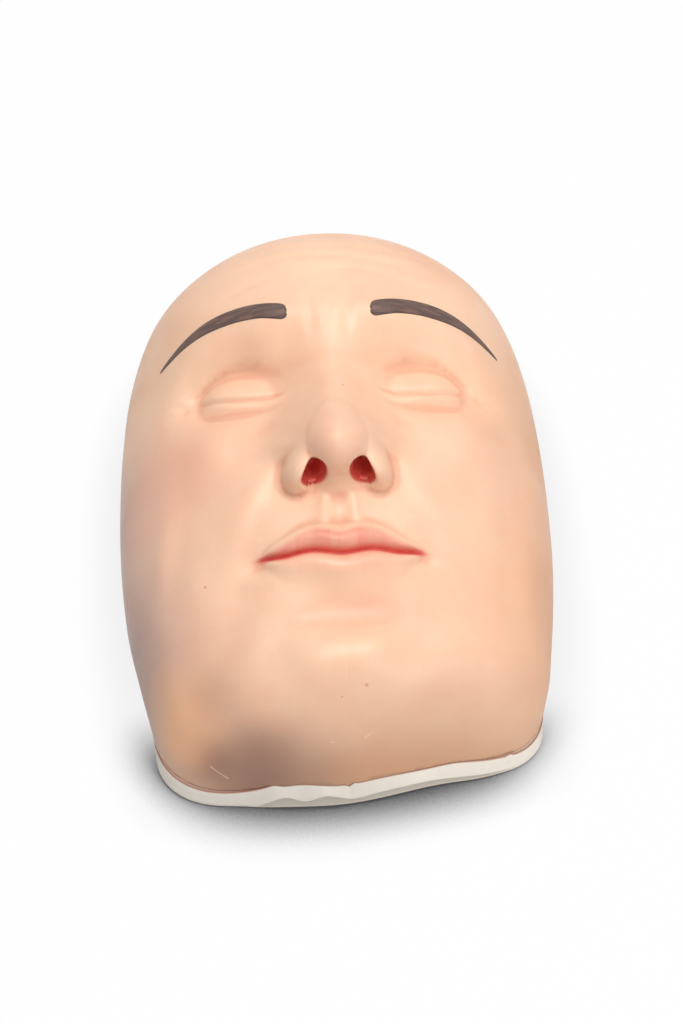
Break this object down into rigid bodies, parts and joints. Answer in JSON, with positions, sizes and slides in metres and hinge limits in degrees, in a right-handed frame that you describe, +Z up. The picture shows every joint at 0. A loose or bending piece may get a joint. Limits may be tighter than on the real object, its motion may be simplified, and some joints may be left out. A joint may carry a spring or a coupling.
{
  "type": "injection training face model",
  "caption": "Soft face model lying on its back, with closed eyes and mouth, open lined nostrils, brow films and a hollow white backing whose rim shows under the skin.",
  "frame": {"origin": "on the table, in the middle of the rim", "axes": "+Z up out of the face, +Y from the chin to the crown, +X to the right seen from the chin end"},
  "size_m": [0.1616, 0.2336, 0.0996],
  "materials": {
    "skin": "soft satin silicone, skin tone with blush and mottling",
    "backing": "matte off-white silicone",
    "red_lining": "glossy red silicone",
    "brow_film": "streaked dark brown, satin"
  },
  "bodies": {
    "root": {"face_skin": "skin", "backing_layer": "backing", "nostril_lining_left": "red_lining", "nostril_lining_right": "red_lining", "mouth_lining": "red_lining", "brow_left": "brow_film", "brow_right": "brow_film"}
  },
  "joints": []
}
